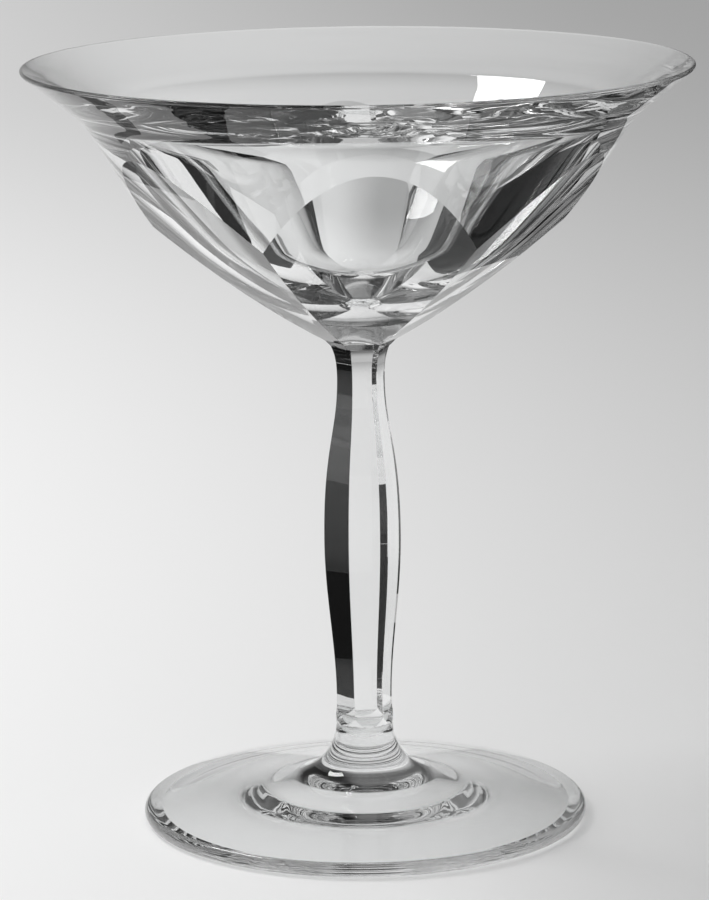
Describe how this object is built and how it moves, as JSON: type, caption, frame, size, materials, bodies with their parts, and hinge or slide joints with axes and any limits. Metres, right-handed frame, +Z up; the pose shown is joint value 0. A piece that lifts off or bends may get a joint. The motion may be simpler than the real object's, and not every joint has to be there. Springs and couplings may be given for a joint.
{
  "type": "sherbet glass",
  "caption": "Footed sherbet glass in clear cut crystal: a wide flared bowl with flat cut panels, a faceted baluster stem and a round foot, fused together.",
  "frame": {"origin": "middle of the foot, on the surface that the glass stands on", "axes": "+Z up the glass's own axis; one bowl panel faces -Y"},
  "size_m": [0.1048, 0.1048, 0.121],
  "materials": {
    "crystal": "clear, polished lead crystal"
  },
  "bodies": {
    "root": {"bowl": "crystal", "stem": "crystal", "foot": "crystal"}
  },
  "joints": []
}
